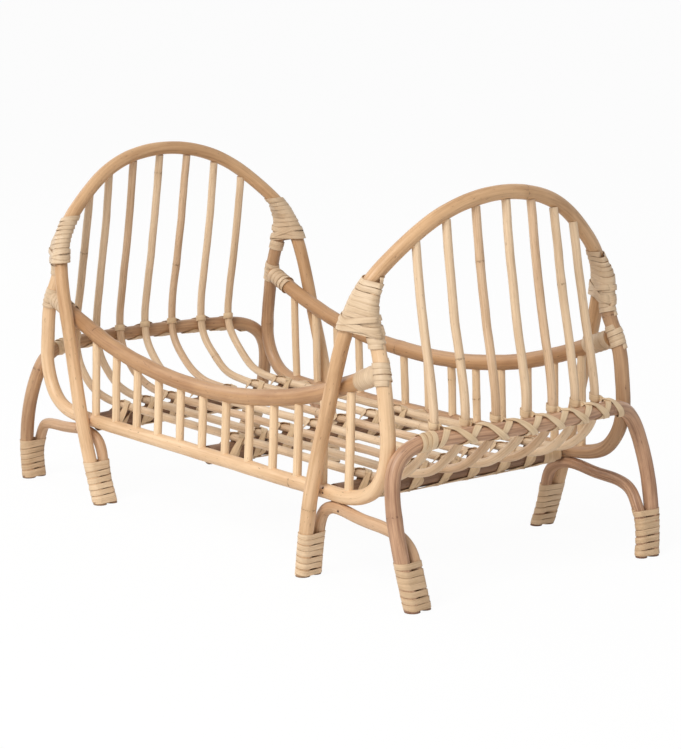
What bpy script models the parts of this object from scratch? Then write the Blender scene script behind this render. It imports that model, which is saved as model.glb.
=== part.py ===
"""Doll bed of bent cane poles, bound with split cane.

Metres, +Z up. The origin is on the floor under the middle of the bed.
+X runs along the bed to its foot end, and +Y runs across it to its far side.
Both ends have the same frame, and so have both sides. Only the leg stretchers and the bed rods
differ a little from place to place.
"""
import math

import bmesh
import bpy
import numpy as np
from mathutils import Vector
from mathutils.bvhtree import BVHTree

# Clearances: between poles that touch, and where an end is cut to fit round a pole
GAP = 0.0003
CUT_GAP = 0.0008

# Pole diameters. Below, a share is a part of a run, a rise, a drop or a reach that is named with it.
ARCH_DIAMETER = 0.011
LOOP_DIAMETER = 0.0105
BOW_DIAMETER = 0.011
STRETCHER_DIAMETER = 0.0085
RAIL_DIAMETER = 0.012
ROD_DIAMETER = 0.0062
SPINDLE_DIAMETER = 0.0062
BAR_DIAMETER = 0.014

# The side loops' widest reach towards an end sets the length of the bed
LOOP_REACH = 0.2118

# End arches: how far inside that reach the feet stand, the widest place, the crown, and how far
# the crown leans out
ARCH_FOOT_INSET = 0.0833
ARCH_HALF_WIDTH = 0.1207
ARCH_HEIGHT = 0.2644
ARCH_LEAN_LENGTH = 0.074
ARCH_LEAN_POWER = 1.08
ARCH_WIDTH_SHARES = (0.96, 1.0, 0.988, 0.93, 0.737, 0.50, 0.25, 0.0)
ARCH_HEIGHT_SHARES = (0.0, 0.242, 0.484, 0.744, 0.860, 0.942, 0.987, 1.0)

# Side loops: the bottom run, and how far the shoulder stands above the rail ends and the tip above
# the shoulder
LOOP_BOTTOM_HEIGHT = 0.0628
LOOP_SHOULDER_LENGTH = 0.0445
LOOP_TIP_LENGTH = 0.0145
LOOP_TIP_DIAMETER = 0.004
LOOP_SIDE_TURN = math.radians(18.0)
LOOP_LEAN_LENGTH = 0.0024
LOOP_REACH_SHARES = (0.70, 0.83, 0.925, 0.982, 1.0, 0.992, 0.970, 0.926)
LOOP_RISE_SHARES = (0.0, 0.01, 0.065, 0.18, 0.315, 0.475, 0.66, 0.845)
LOOP_LEAN_SHARES = (0.0, 0.0, 0.0, 0.0, 0.0, 0.0, 0.3, 1.0)

# End bows: how far the feet stand outside the loops' reach and inside the arches' width, the rail
# across the end, and its swell beyond the corners
BOW_FOOT_OUTSET = 0.029
BOW_FOOT_INSET = 0.0087
BOW_HEIGHT = 0.1095
BOW_SWELL_LENGTH = 0.0150
BOW_LEG_BULGE_LENGTH = 0.0055
BOW_LEG_HEIGHT_SHARES = (0.43, 0.83)
BOW_LEG_LEAN_SHARE = 0.54
BOW_CORNER_SHARES = ((0.08, 0.885, 0.955), (0.36, 0.70, 0.995), (0.83, 0.35, 1.0))

# Leg stretchers: height at the outer leg, which differs from corner to corner, and how far they
# stand up straight in the bindings
FOOT_NEAR_STRETCHER_HEIGHT = 0.046
FOOT_FAR_STRETCHER_HEIGHT = 0.047
HEAD_NEAR_STRETCHER_HEIGHT = 0.047
HEAD_FAR_STRETCHER_HEIGHT = 0.047
STRETCHER_STAND_HEIGHT = 0.024
STRETCHER_CLEARANCE = 0.0005
STRETCHER_RUN_SHARES = (0.06, 0.22, 0.50, 0.84, 0.95)
STRETCHER_RISE_SHARE = 0.72
STRETCHER_DROP_SHARES = (0.36, 1.0)
STRETCHER_OUTER_SHARE = 0.45

# Top side rails: their ends and the middle of their sag
RAIL_END_HEIGHT = 0.1505
RAIL_SAG_DEPTH = 0.040
RAIL_SAG_POWER = 2.1
RAIL_CROSSING_SHARE = 0.25

# Bed rods: their places across the bed at the head arch, on the base and at the foot arch, as
# shares of the arches' half width
ROD_HEAD_SHARES = (-0.638, -0.464, -0.257, -0.041, 0.174, 0.389, 0.588)
ROD_BASE_SHARES = (-0.663, -0.464, -0.257, -0.041, 0.182, 0.423, 0.638)
ROD_FOOT_SHARES = (-0.605, -0.414, -0.215, 0.0, 0.203, 0.398, 0.580)
ROD_FLAT_SHARE = 0.55
ROD_BEND_SHARES = ((-0.05, 0.003), (0.33, 0.036), (0.60, 0.165), (0.83, 0.475))
ROD_UPPER_SHARES = (0.36, 0.42)

# Cross bars under the rods: how far the outer ones lie inside the loops' reach, and how far they
# hang below the loops' middle line
BAR_INSET = 0.0628
BAR_DROP_LENGTH = 0.0023

# Side spindles: the part of the loop's length that they take up
SPINDLE_COUNT = 13
SPINDLE_RUN_SHARE = 0.8074

# Split cane of the bindings
CANE_THICKNESS = 0.0011
CANE_CLEARANCE = 0.0004
TURN_GAP = 0.0006
TURN_POINTS = 8
FOOT_CANE_WIDTH = 0.0040
FOOT_BINDING_BOTTOM = 0.0075
FOOT_BINDING_TOP = 0.0305
FOOT_BINDING_TURNS = 5
CORNER_CANE_WIDTH = 0.0033
SHOULDER_BINDING_LENGTH = 0.0315
SHOULDER_BINDING_TURNS = 7
SHOULDER_TAIL_LENGTH = 0.0084
SHOULDER_TAIL_TURNS = 2
JOINT_BINDING_RISE_LENGTH = 0.0085
JOINT_BINDING_DROP_LENGTH = 0.0045
JOINT_BINDING_TURNS = 3
JOINT_CLEARANCE = 0.0008

# Rings along the poles and sides round them
ARCH_RINGS = 31
LOOP_RINGS = 41
BOW_RINGS = 21
STRETCHER_RINGS = 14
RAIL_RINGS = 13
RAIL_KNOTS = 9
ROD_RINGS = 21
MAIN_SIDES = 10
THIN_SIDES = 8
BAR_SIDES = 12
SMOOTH_ANGLE = math.radians(40.0)
SAMPLES = 400

CUT_AT_FLOOR = "floor"
MILLIMETRES = 1000.0

# Places that follow from these sizes
ARCH_FOOT_X = LOOP_REACH - ARCH_FOOT_INSET
BOW_FOOT_X = LOOP_REACH + BOW_FOOT_OUTSET
BOW_FOOT_Y = ARCH_HALF_WIDTH - BOW_FOOT_INSET
BAR_X = LOOP_REACH - BAR_INSET
LOOP_SHOULDER_HEIGHT = RAIL_END_HEIGHT + LOOP_SHOULDER_LENGTH
LOOP_TIP_HEIGHT = LOOP_SHOULDER_HEIGHT + LOOP_TIP_LENGTH

# Colours and roughness
TAN_COLOUR = (0.62, 0.40, 0.23)
PALE_COLOUR = (0.74, 0.55, 0.36)
ROSE_COLOUR = (0.50, 0.28, 0.17)
BROWN_COLOUR = (0.26, 0.14, 0.08)
SPLIT_COLOUR = (0.78, 0.62, 0.43)
SMOOTH_ROUGHNESS = 0.42
DULL_ROUGHNESS = 0.50


# Lines: every pole and binding follows a row of points

def smooth_line(knots, count):
    """A smooth line of count points through the knots, closer together where the knots are."""
    knots = np.array(knots, dtype=float)
    step = np.sqrt(np.linalg.norm(np.diff(knots, axis=0), axis=1))
    place = np.concatenate([[0.0], np.cumsum(step)])
    system = np.eye(len(knots))
    load = np.zeros_like(knots)
    for i in range(1, len(knots) - 1):
        system[i, i - 1:i + 2] = step[i - 1], 2 * (step[i - 1] + step[i]), step[i]
        load[i] = 6 * ((knots[i + 1] - knots[i]) / step[i] - (knots[i] - knots[i - 1]) / step[i - 1])
    bend = np.linalg.solve(system, load)
    where = np.linspace(0.0, place[-1], count)
    piece = np.clip(np.searchsorted(place, where) - 1, 0, len(knots) - 2)
    before = ((place[piece + 1] - where) / step[piece])[:, None]
    after = 1 - before
    square = (step[piece] ** 2)[:, None] / 6
    return (before * knots[piece] + after * knots[piece + 1]
            + (before ** 3 - before) * bend[piece] * square
            + (after ** 3 - after) * bend[piece + 1] * square)


def fine_line(line, count=SAMPLES):
    """The same run of straight pieces with many points, spaced evenly."""
    length = np.concatenate([[0.0], np.cumsum(np.linalg.norm(np.diff(line, axis=0), axis=1))])
    where = np.linspace(0.0, length[-1], count)
    return np.stack([np.interp(where, length, line[:, k]) for k in range(3)], axis=1)


def distances(line, other):
    """The distance of each point of a line from the other line."""
    apart = line[:, None, :] - fine_line(other)[None, :, :]
    return np.sqrt((apart ** 2).sum(axis=2).min(axis=1))


def settle(make_line, other, reach, low, high, diameters=None):
    """The size between low and high at which the line comes to its reach from the other.

    A line with diameters of its own is measured from its skin, and the reach is the other's part.
    """
    for _ in range(24):
        middle = (low + high) / 2
        line = fine_line(make_line(middle))
        skin = diameters(line) / 2 if diameters else 0.0
        if (distances(line, other) - skin).min() < reach:
            low = middle
        else:
            high = middle
    return high


def point_at(line, axis, value):
    """The first point of a line whose coordinate on the axis passes the value."""
    offset = line[:, axis] - value
    for i in range(len(line) - 1):
        if offset[i] == 0 or offset[i] * offset[i + 1] < 0:
            share = offset[i] / (offset[i] - offset[i + 1])
            return line[i] + share * (line[i + 1] - line[i])
    return line[int(np.argmin(np.abs(offset)))]


def tangents(line):
    """Unit directions along a line."""
    along = np.gradient(line, axis=0)
    return along / np.linalg.norm(along, axis=1)[:, None]


def unit(vector):
    return vector / np.linalg.norm(vector)


def mirrored(line, end, side):
    """A line carried over to an end (1 foot, -1 head) and a side (1 far, -1 near)."""
    return line * np.array([end, side, 1.0])


def radius_sum(first, second):
    """Centre distance of two poles that touch."""
    return (first + second) / 2 + GAP


def cane_offset(diameter):
    """Distance from a pole's axis to the middle of a strip that lies on it."""
    return diameter / 2 + CANE_CLEARANCE + CANE_THICKNESS / 2


# Centre lines, for the foot end and the far side

def arch_line():
    knots = []
    for width, height in zip(ARCH_WIDTH_SHARES, ARCH_HEIGHT_SHARES):
        lean = ARCH_LEAN_LENGTH * height ** ARCH_LEAN_POWER
        knots.append((ARCH_FOOT_X + lean, ARCH_HALF_WIDTH * width, ARCH_HEIGHT * height))
    across = [(x, -y, z) for x, y, z in reversed(knots[:-1])]
    return smooth_line(knots + across, ARCH_RINGS)


ARCH = arch_line()
FAR_LEG = ARCH[:(ARCH_RINGS + 1) // 2]
LOOP_Y = point_at(FAR_LEG, 2, LOOP_BOTTOM_HEIGHT)[1] - radius_sum(ARCH_DIAMETER, LOOP_DIAMETER)
RAIL_CROSSING_HEIGHT = RAIL_END_HEIGHT - RAIL_CROSSING_SHARE * RAIL_SAG_DEPTH
RAIL_Y = point_at(FAR_LEG, 2, RAIL_CROSSING_HEIGHT)[1] - radius_sum(ARCH_DIAMETER, RAIL_DIAMETER)


def loop_line(offset):
    """The side loop, whose tapered ends lie against the arch. The offset is where the taper starts."""
    beside = np.array([math.cos(LOOP_SIDE_TURN), -math.sin(LOOP_SIDE_TURN), 0.0])
    rise = LOOP_SHOULDER_HEIGHT - LOOP_BOTTOM_HEIGHT
    half = [(0.0, LOOP_Y, LOOP_BOTTOM_HEIGHT)]
    for reach, height, lean in zip(LOOP_REACH_SHARES, LOOP_RISE_SHARES, LOOP_LEAN_SHARES):
        half.append((LOOP_REACH * reach, LOOP_Y - LOOP_LEAN_LENGTH * lean, LOOP_BOTTOM_HEIGHT + rise * height))
    tip_offset = offset - (LOOP_DIAMETER - LOOP_TIP_DIAMETER) / 2
    half.append(tuple(point_at(FAR_LEG, 2, LOOP_SHOULDER_HEIGHT) + offset * beside))
    half.append(tuple(point_at(FAR_LEG, 2, LOOP_TIP_HEIGHT) + tip_offset * beside))
    other = [(-x, y, z) for x, y, z in reversed(half[1:])]
    return smooth_line(other + half, LOOP_RINGS)


def loop_diameters(line):
    """Full thickness up to the shoulder, then a taper to the tip."""
    return np.interp(line[:, 2], (LOOP_SHOULDER_HEIGHT, LOOP_TIP_HEIGHT), (LOOP_DIAMETER, LOOP_TIP_DIAMETER))


def above_rail(line):
    return line[(line[:, 0] > 0.0) & (line[:, 2] > RAIL_END_HEIGHT)]


LOOP = loop_line(settle(lambda offset: above_rail(loop_line(offset)), FAR_LEG, ARCH_DIAMETER / 2 + GAP,
                        LOOP_DIAMETER / 2, 2 * (ARCH_DIAMETER + LOOP_DIAMETER), loop_diameters))
LOOP_HALF = LOOP[LOOP_RINGS // 2:]


def bow_line(corner_x):
    """The bow: two legs, rounded corners and a rail that swells outwards."""
    foot_lean = BOW_FOOT_X - corner_x
    middle, upper = (BOW_HEIGHT * share for share in BOW_LEG_HEIGHT_SHARES)
    half = [(BOW_FOOT_X, BOW_FOOT_Y, 0.0),
            (corner_x + BOW_LEG_LEAN_SHARE * foot_lean, BOW_FOOT_Y + BOW_LEG_BULGE_LENGTH, middle),
            (corner_x, BOW_FOOT_Y, upper)]
    for swell_share, reach_share, height_share in BOW_CORNER_SHARES:
        half.append((corner_x + swell_share * BOW_SWELL_LENGTH, reach_share * BOW_FOOT_Y, height_share * BOW_HEIGHT))
    half.append((corner_x + BOW_SWELL_LENGTH, 0.0, BOW_HEIGHT))
    across = [(x, -y, z) for x, y, z in reversed(half[:-1])]
    return smooth_line(half + across, BOW_RINGS)


BOW = bow_line(settle(bow_line, LOOP_HALF, radius_sum(BOW_DIAMETER, LOOP_DIAMETER),
                      LOOP_REACH, LOOP_REACH + BOW_DIAMETER + 2 * LOOP_DIAMETER))
FAR_BOW_LEG = BOW[:BOW_RINGS // 2]


def stretcher_line(top, outer_height):
    """The small arch between two feet, with the heights of its crown and of its outer corner."""
    beside_arch = np.array([0.0, radius_sum(ARCH_DIAMETER, STRETCHER_DIAMETER) + STRETCHER_CLEARANCE, 0.0])
    beside_bow = np.array([0.0, radius_sum(BOW_DIAMETER, STRETCHER_DIAMETER) + STRETCHER_CLEARANCE, 0.0])
    inner = [point_at(FAR_LEG, 2, height) - beside_arch for height in (0.0, STRETCHER_STAND_HEIGHT)]
    outer = [point_at(FAR_BOW_LEG, 2, height) - beside_bow for height in (0.0, STRETCHER_STAND_HEIGHT)]
    run = outer[1][0] - inner[1][0]
    rising, crown, falling, turning, corner = (inner[1][0] + run * share for share in STRETCHER_RUN_SHARES)
    rise = STRETCHER_RISE_SHARE * (top - STRETCHER_STAND_HEIGHT)
    falling_height, turning_height = (top - share * (top - outer_height) for share in STRETCHER_DROP_SHARES)
    knots = [inner[0], inner[1],
             (rising, inner[1][1], STRETCHER_STAND_HEIGHT + rise),
             (crown, LOOP_Y, top),
             (falling, LOOP_Y, falling_height),
             (turning, (LOOP_Y + outer[1][1]) / 2, turning_height),
             (corner, outer[1][1], outer_height - STRETCHER_OUTER_SHARE * (outer_height - STRETCHER_STAND_HEIGHT)),
             outer[1], outer[0]]
    return smooth_line(knots, STRETCHER_RINGS)


def stretcher_under_loop(outer_height):
    """The stretcher whose crown just touches the loop from below."""
    drop = settle(lambda drop: stretcher_line(LOOP_BOTTOM_HEIGHT - drop, outer_height), LOOP_HALF,
                  radius_sum(STRETCHER_DIAMETER, LOOP_DIAMETER), 0.0, 2 * (STRETCHER_DIAMETER + LOOP_DIAMETER))
    return stretcher_line(LOOP_BOTTOM_HEIGHT - drop, outer_height)


def rail_line(back):
    """The sagging top rail, whose ends stop short of the loop's middle line."""
    end_x = point_at(LOOP_HALF[::-1], 2, RAIL_END_HEIGHT)[0] - back
    knots = []
    for share in np.linspace(-1.0, 1.0, RAIL_KNOTS):
        sag = RAIL_SAG_DEPTH * (1 - abs(share) ** RAIL_SAG_POWER)
        knots.append((end_x * share, RAIL_Y, RAIL_END_HEIGHT - sag))
    return smooth_line(knots, RAIL_RINGS)


def seen_from_side(line):
    return line * np.array([1.0, 0.0, 1.0])


JOINT_RADIUS = cane_offset(LOOP_DIAMETER) / math.cos(math.pi / TURN_POINTS) + CANE_THICKNESS / 2
RAIL = rail_line(settle(lambda back: seen_from_side(rail_line(back)), seen_from_side(LOOP_HALF),
                        JOINT_RADIUS + JOINT_CLEARANCE, 0.0, 2 * LOOP_DIAMETER))
BAR_HEIGHT = LOOP_BOTTOM_HEIGHT - BAR_DROP_LENGTH
ROD_HEIGHT = BAR_HEIGHT + radius_sum(BAR_DIAMETER, ROD_DIAMETER)


def half_rod(base_y, top_y, rail_x):
    """Knots of a bed rod from the middle of the bed, along the bars and up to the foot arch."""
    leg = FAR_LEG if top_y > 0 else mirrored(FAR_LEG, 1, -1)
    top = point_at(leg, 1, top_y)
    rise = BOW_HEIGHT - ROD_HEIGHT
    run = rail_x - BAR_X
    rail_y = (base_y + top_y) / 2
    knots = [(0.0, base_y, ROD_HEIGHT), (ROD_FLAT_SHARE * BAR_X, base_y, ROD_HEIGHT)]
    for run_share, rise_share in ROD_BEND_SHARES:
        knots.append((BAR_X + run_share * run, base_y, ROD_HEIGHT + rise_share * rise))
    knots.append((rail_x, rail_y, BOW_HEIGHT))
    out_share, up_share = ROD_UPPER_SHARES
    knots.append((rail_x + out_share * (top[0] - rail_x), rail_y + up_share * (top_y - rail_y),
                  BOW_HEIGHT + up_share * (top[2] - BOW_HEIGHT)))
    return knots + [tuple(top)]


def half_rod_at_rail(base_y, top_y):
    """The half rod that rests against the inner side of the bow's rail."""
    outside = point_at(BOW[BOW_RINGS // 4:], 1, (base_y + top_y) / 2)[0]
    rod_reach = radius_sum(BOW_DIAMETER, ROD_DIAMETER)
    inward = settle(lambda back: np.array(half_rod(base_y, top_y, outside - back)), BOW, rod_reach,
                    0.0, 3 * rod_reach)
    return half_rod(base_y, top_y, outside - inward)


def rod_line(*shares):
    head_y, base_y, foot_y = (ARCH_HALF_WIDTH * share for share in shares)
    foot_half = half_rod_at_rail(base_y, foot_y)
    head_half = [(-x, y, z) for x, y, z in half_rod_at_rail(base_y, head_y)]
    return smooth_line(head_half[:0:-1] + foot_half, ROD_RINGS)


RODS = [rod_line(*shares) for shares in zip(ROD_HEAD_SHARES, ROD_BASE_SHARES, ROD_FOOT_SHARES)]


# Meshes

def material(name, colour, roughness):
    made = bpy.data.materials.new(name)
    made.use_nodes = True
    shader = made.node_tree.nodes["Principled BSDF"]
    shader.inputs["Base Color"].default_value = (*colour, 1.0)
    shader.inputs["Roughness"].default_value = roughness
    shader.inputs["Metallic"].default_value = 0.0
    return made


def add_object(name, mesh_data, finish):
    mesh = bpy.data.meshes.new(name)
    bmesh.ops.triangulate(mesh_data, faces=mesh_data.faces)
    bmesh.ops.recalc_face_normals(mesh_data, faces=mesh_data.faces)
    mesh_data.to_mesh(mesh)
    mesh_data.free()
    mesh.shade_smooth()
    mesh.set_sharp_from_angle(angle=SMOOTH_ANGLE)
    mesh.materials.append(finish)
    made = bpy.data.objects.new(name, mesh)
    bpy.context.scene.collection.objects.link(made)
    return made


def surface(thing):
    """The object's faces, ready for finding where a cut end meets them."""
    return BVHTree.FromPolygons([v.co for v in thing.data.vertices],
                                [tuple(p.vertices) for p in thing.data.polygons])


def bridge(mesh_data, rings):
    for first, second in zip(rings, rings[1:]):
        count = len(first)
        for k in range(count):
            mesh_data.faces.new((first[k], first[(k + 1) % count], second[(k + 1) % count], second[k]))


def cut_to_fit(points, direction, back, target):
    """End points moved along the direction until they lie just off the target's surface.

    A point that would pass the target by moves no further than the first that meets it.
    """
    travel = []
    for point in points:
        start = Vector(point - direction * back)
        hit = target.ray_cast(start, Vector(direction))[3]
        travel.append(None if hit is None else hit - back - CUT_GAP)
    shortest = min(t for t in travel if t is not None)
    return [point + direction * (shortest if t is None else t) for point, t in zip(points, travel)]


def pole(name, line, diameter, sides, finish, start=None, end=None):
    """A round pole along a line. An end is square, cut at the floor or cut to fit a surface."""
    along = tangents(line)
    radii = np.broadcast_to(diameter, len(line)) / 2
    across = unit(np.cross(along[0], (0.0, 1.0, 0.0) if abs(along[0][1]) < 0.9 else (1.0, 0.0, 0.0)))
    rings = []
    for centre, forward, radius in zip(line, along, radii):
        across = unit(across - forward * np.dot(across, forward))
        upward = np.cross(forward, across)
        turn = [2 * math.pi * k / sides for k in range(sides)]
        rings.append([centre + radius * (math.cos(a) * across + math.sin(a) * upward) for a in turn])
    mesh_data = bmesh.new()
    middles = {}
    for which, cut, forward in ((0, start, -along[0]), (-1, end, along[-1])):
        if cut is CUT_AT_FLOOR:
            rings[which] = [p - forward * p[2] / forward[2] for p in rings[which]]
        elif cut is not None:
            segment = np.linalg.norm(line[0] - line[1] if which == 0 else line[-1] - line[-2])
            fitted = cut_to_fit(rings[which] + [line[which]], forward, segment / 2, cut)
            rings[which] = fitted[:-1]
            middles[which] = mesh_data.verts.new(fitted[-1])
    corners = [[mesh_data.verts.new(p) for p in ring] for ring in rings]
    bridge(mesh_data, corners)
    for which in (0, -1):
        ring = corners[which]
        if which in middles:
            for k in range(sides):
                mesh_data.faces.new((ring[k], ring[(k + 1) % sides], middles[which]))
        else:
            mesh_data.faces.new(ring)
    return add_object(name, mesh_data, finish)


def cane_strip(mesh_data, line, outward, width):
    """A flat strip of split cane along a line, with its face turned outwards."""
    corners = []
    for centre, forward, out in zip(line, tangents(line), outward):
        side = unit(np.cross(forward, out)) * width / 2
        face = unit(np.cross(side, forward)) * CANE_THICKNESS / 2
        ring = (centre - side - face, centre + side - face, centre + side + face, centre - side + face)
        corners.append([mesh_data.verts.new(p) for p in ring])
    bridge(mesh_data, corners)
    mesh_data.faces.new(corners[0])
    mesh_data.faces.new(corners[-1])


# Windings: a strip pulled tight has straight stretches that each touch the poles from one direction

def where_cut(line, diameter, middle, forward):
    """Where a pole, or its run beyond an end, passes through the plane at the middle.

    Gives the point, the pole's direction and its diameter.
    """
    diameters = np.broadcast_to(diameter, len(line))
    height = (line - middle) @ forward
    nearest = int(np.argmin(np.abs(height)))
    direction = tangents(line)[nearest]
    past_end = line[nearest] - direction * height[nearest] / np.dot(direction, forward)
    found = [(math.inf, past_end, direction, diameters[nearest])]
    for i in range(len(line) - 1):
        if min(height[i], height[i + 1]) <= 0 < max(height[i], height[i + 1]):
            share = height[i] / (height[i] - height[i + 1])
            point = line[i] + share * (line[i + 1] - line[i])
            thickness = diameters[i] + share * (diameters[i + 1] - diameters[i])
            found.append((np.linalg.norm(point - middle), point, unit(line[i + 1] - line[i]), thickness))
    return min(found, key=lambda entry: entry[0])[1:]


def tight_corner(poles, middle, forward, first, second):
    """The corner between the stretches that face first and second, in the plane square to forward.

    Each pole is a line and a diameter. The strip lies flat on the poles, so its outward direction
    at the corner is square to them.
    """
    cuts = [where_cut(line, diameter, middle, forward) for line, diameter in poles]
    reach, run = [], np.zeros(3)
    for out in (first, second):
        reaches = []
        for point, direction, diameter in cuts:
            slope = direction / np.dot(direction, forward)
            stretch = math.sqrt(1 + np.dot(slope, out) ** 2)
            reaches.append(np.dot(point - middle, out) + cane_offset(diameter) * stretch)
        widest = int(np.argmax(reaches))
        reach.append(reaches[widest])
        direction = cuts[widest][1]
        run += direction * math.copysign(1.0, np.dot(direction, forward))
    lean = np.dot(first, second)
    near = (reach[0] - lean * reach[1]) / (1 - lean ** 2)
    far = (reach[1] - lean * reach[0]) / (1 - lean ** 2)
    run = unit(run)
    out = first + second
    return middle + near * first + far * second, unit(out - run * np.dot(out, run))


def wound(poles, middles, forward, toward, tail_turns=0):
    """Corners and outward directions of a strip wound round poles, starting on the side toward.

    The turns of the tail go round the first pole alone.
    """
    turn = 2 * math.pi / TURN_POINTS
    level = unit(toward - forward * np.dot(toward, forward))
    square = np.cross(forward, level)
    tail_start = len(middles) - 1 - tail_turns * TURN_POINTS
    corners = []
    for k, middle in enumerate(middles):
        faces = [math.cos(a) * level + math.sin(a) * square for a in (turn * k, turn * (k + 1))]
        held = poles[:1] if tail_turns and k >= tail_start else poles
        corners.append(tight_corner(held, middle, forward, *faces))
    return [np.array(column) for column in zip(*corners)]


def winding(poles, axis, start, *runs, toward, tail_turns=0):
    """A strip wound along poles that lie side by side, its turns square to their common run.

    Each run ends at a place on the axis after some turns.
    """
    places = [start]
    for end, turns in runs:
        places.extend(np.linspace(places[-1], end, turns * TURN_POINTS + 1)[1:])
    middles = np.mean([[point_at(line, axis, place) for place in places] for line, _ in poles], axis=0)
    return wound(poles, middles, unit(middles[-1] - middles[0]), np.array(toward), tail_turns)


def gap_to_itself(line, width):
    """The least gap between one turn of a strip and the next, measured between many points."""
    points = fine_line(line, TURN_POINTS * (len(line) - 1) + 1)
    length = np.concatenate([[0.0], np.cumsum(np.linalg.norm(np.diff(points, axis=0), axis=1))])
    turn_length = length[-1] * TURN_POINTS / (len(line) - 1)
    least = math.inf
    for i in range(len(points)):
        later = points[length > length[i] + turn_length / 2]
        if len(later):
            least = min(least, float(np.linalg.norm(later - points[i], axis=1).min()))
    return least - width


def binding(name, strip, width):
    """One strip, given as a line with outward directions."""
    line, outward = strip
    mesh_data = bmesh.new()
    cane_strip(mesh_data, line, outward, width)
    print(f"{name}: least gap to itself {gap_to_itself(line, width) * MILLIMETRES:.2f} mm")
    return add_object(name, mesh_data, SPLIT)


# Strips, for the foot end and the far side

def foot_strip(leg, leg_diameter, stretcher):
    """Turns round the feet of a leg and a stretcher."""
    return winding([(leg, leg_diameter), (stretcher, STRETCHER_DIAMETER)], 2, FOOT_BINDING_BOTTOM,
                   (FOOT_BINDING_TOP, FOOT_BINDING_TURNS), toward=(0.0, 1.0, 0.0))


def corner_strip():
    """Turns round the arch and the loop together, then down the loop to the end of the top rail."""
    toward_loop = (math.cos(LOOP_SIDE_TURN), -math.sin(LOOP_SIDE_TURN), 0.0)
    poles = [(LOOP_HALF, loop_diameters(LOOP_HALF)), (FAR_LEG, ARCH_DIAMETER)]
    shoulder_end = LOOP_TIP_HEIGHT - SHOULDER_BINDING_LENGTH
    return winding(poles, 2, LOOP_TIP_HEIGHT,
                   (shoulder_end, SHOULDER_BINDING_TURNS),
                   (shoulder_end - SHOULDER_TAIL_LENGTH, SHOULDER_TAIL_TURNS),
                   (RAIL_END_HEIGHT + JOINT_BINDING_RISE_LENGTH, 1),
                   (RAIL_END_HEIGHT - JOINT_BINDING_DROP_LENGTH, JOINT_BINDING_TURNS), toward=toward_loop,
                   tail_turns=SHOULDER_TAIL_TURNS + 1 + JOINT_BINDING_TURNS)


def carried_over(strip, end, side):
    line, outward = strip
    return mirrored(line, end, side), mirrored(outward, end, side)


for thing in list(bpy.data.objects):
    bpy.data.objects.remove(thing, do_unlink=True)

TAN = material("tan_cane", TAN_COLOUR, SMOOTH_ROUGHNESS)
PALE = material("pale_cane", PALE_COLOUR, SMOOTH_ROUGHNESS)
ROSE = material("rose_cane", ROSE_COLOUR, SMOOTH_ROUGHNESS)
BROWN = material("brown_cane", BROWN_COLOUR, DULL_ROUGHNESS)
SPLIT = material("split_cane", SPLIT_COLOUR, DULL_ROUGHNESS)
ENDS = {1: "foot", -1: "head"}
SIDES = {1: "far", -1: "near"}

# The bent frame

arch_surface = {}
for end in ENDS:
    arch = pole(f"{ENDS[end]}_arch", mirrored(ARCH, end, 1), ARCH_DIAMETER, MAIN_SIDES, TAN,
                CUT_AT_FLOOR, CUT_AT_FLOOR)
    arch_surface[end] = surface(arch)
    pole(f"{ENDS[end]}_bow", mirrored(BOW, end, 1), BOW_DIAMETER, MAIN_SIDES, ROSE,
         CUT_AT_FLOOR, CUT_AT_FLOOR)

loop_surface = {}
rail_surface = {}
for side in SIDES:
    loop = pole(f"{SIDES[side]}_side_loop", mirrored(LOOP, 1, side), loop_diameters(LOOP), MAIN_SIDES, TAN)
    loop_surface[side] = surface(loop)
    rail = pole(f"{SIDES[side]}_top_rail", mirrored(RAIL, 1, side), RAIL_DIAMETER, MAIN_SIDES, TAN)
    rail_surface[side] = surface(rail)

STRETCHERS = {(1, -1): stretcher_under_loop(FOOT_NEAR_STRETCHER_HEIGHT),
              (1, 1): stretcher_under_loop(FOOT_FAR_STRETCHER_HEIGHT),
              (-1, -1): stretcher_under_loop(HEAD_NEAR_STRETCHER_HEIGHT),
              (-1, 1): stretcher_under_loop(HEAD_FAR_STRETCHER_HEIGHT)}
for (end, side), line in STRETCHERS.items():
    pole(f"{ENDS[end]}_{SIDES[side]}_leg_stretcher", mirrored(line, end, side),
         STRETCHER_DIAMETER, THIN_SIDES, ROSE, CUT_AT_FLOOR, CUT_AT_FLOOR)

# The base: cross bars between the loops, and rods that run on up to the arches

BAR_REACH = LOOP_Y - LOOP_DIAMETER / 2 - GAP
BARS = {name: np.array([(x, -BAR_REACH, BAR_HEIGHT), (x, BAR_REACH, BAR_HEIGHT)])
        for name, x in (("head", -BAR_X), ("middle", 0.0), ("foot", BAR_X))}
for name, line in BARS.items():
    pole(f"{name}_cross_bar", line, BAR_DIAMETER, BAR_SIDES, BROWN)

for number, line in enumerate(RODS, 1):
    pole(f"bed_rod_{number}", line, ROD_DIAMETER, THIN_SIDES, TAN, arch_surface[-1], arch_surface[1])

# Side spindles, cut to fit the loop below and the rail above

for side in SIDES:
    for number in range(SPINDLE_COUNT):
        x = LOOP_REACH * SPINDLE_RUN_SHARE * (2 * number / (SPINDLE_COUNT - 1) - 1)
        foot = point_at(LOOP, 0, x)
        top = point_at(RAIL, 0, x)
        pole(f"{SIDES[side]}_spindle_{number + 1}", mirrored(np.array([foot, top]), 1, side),
             SPINDLE_DIAMETER, THIN_SIDES, PALE, loop_surface[side], rail_surface[side])

# Bindings of split cane

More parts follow.
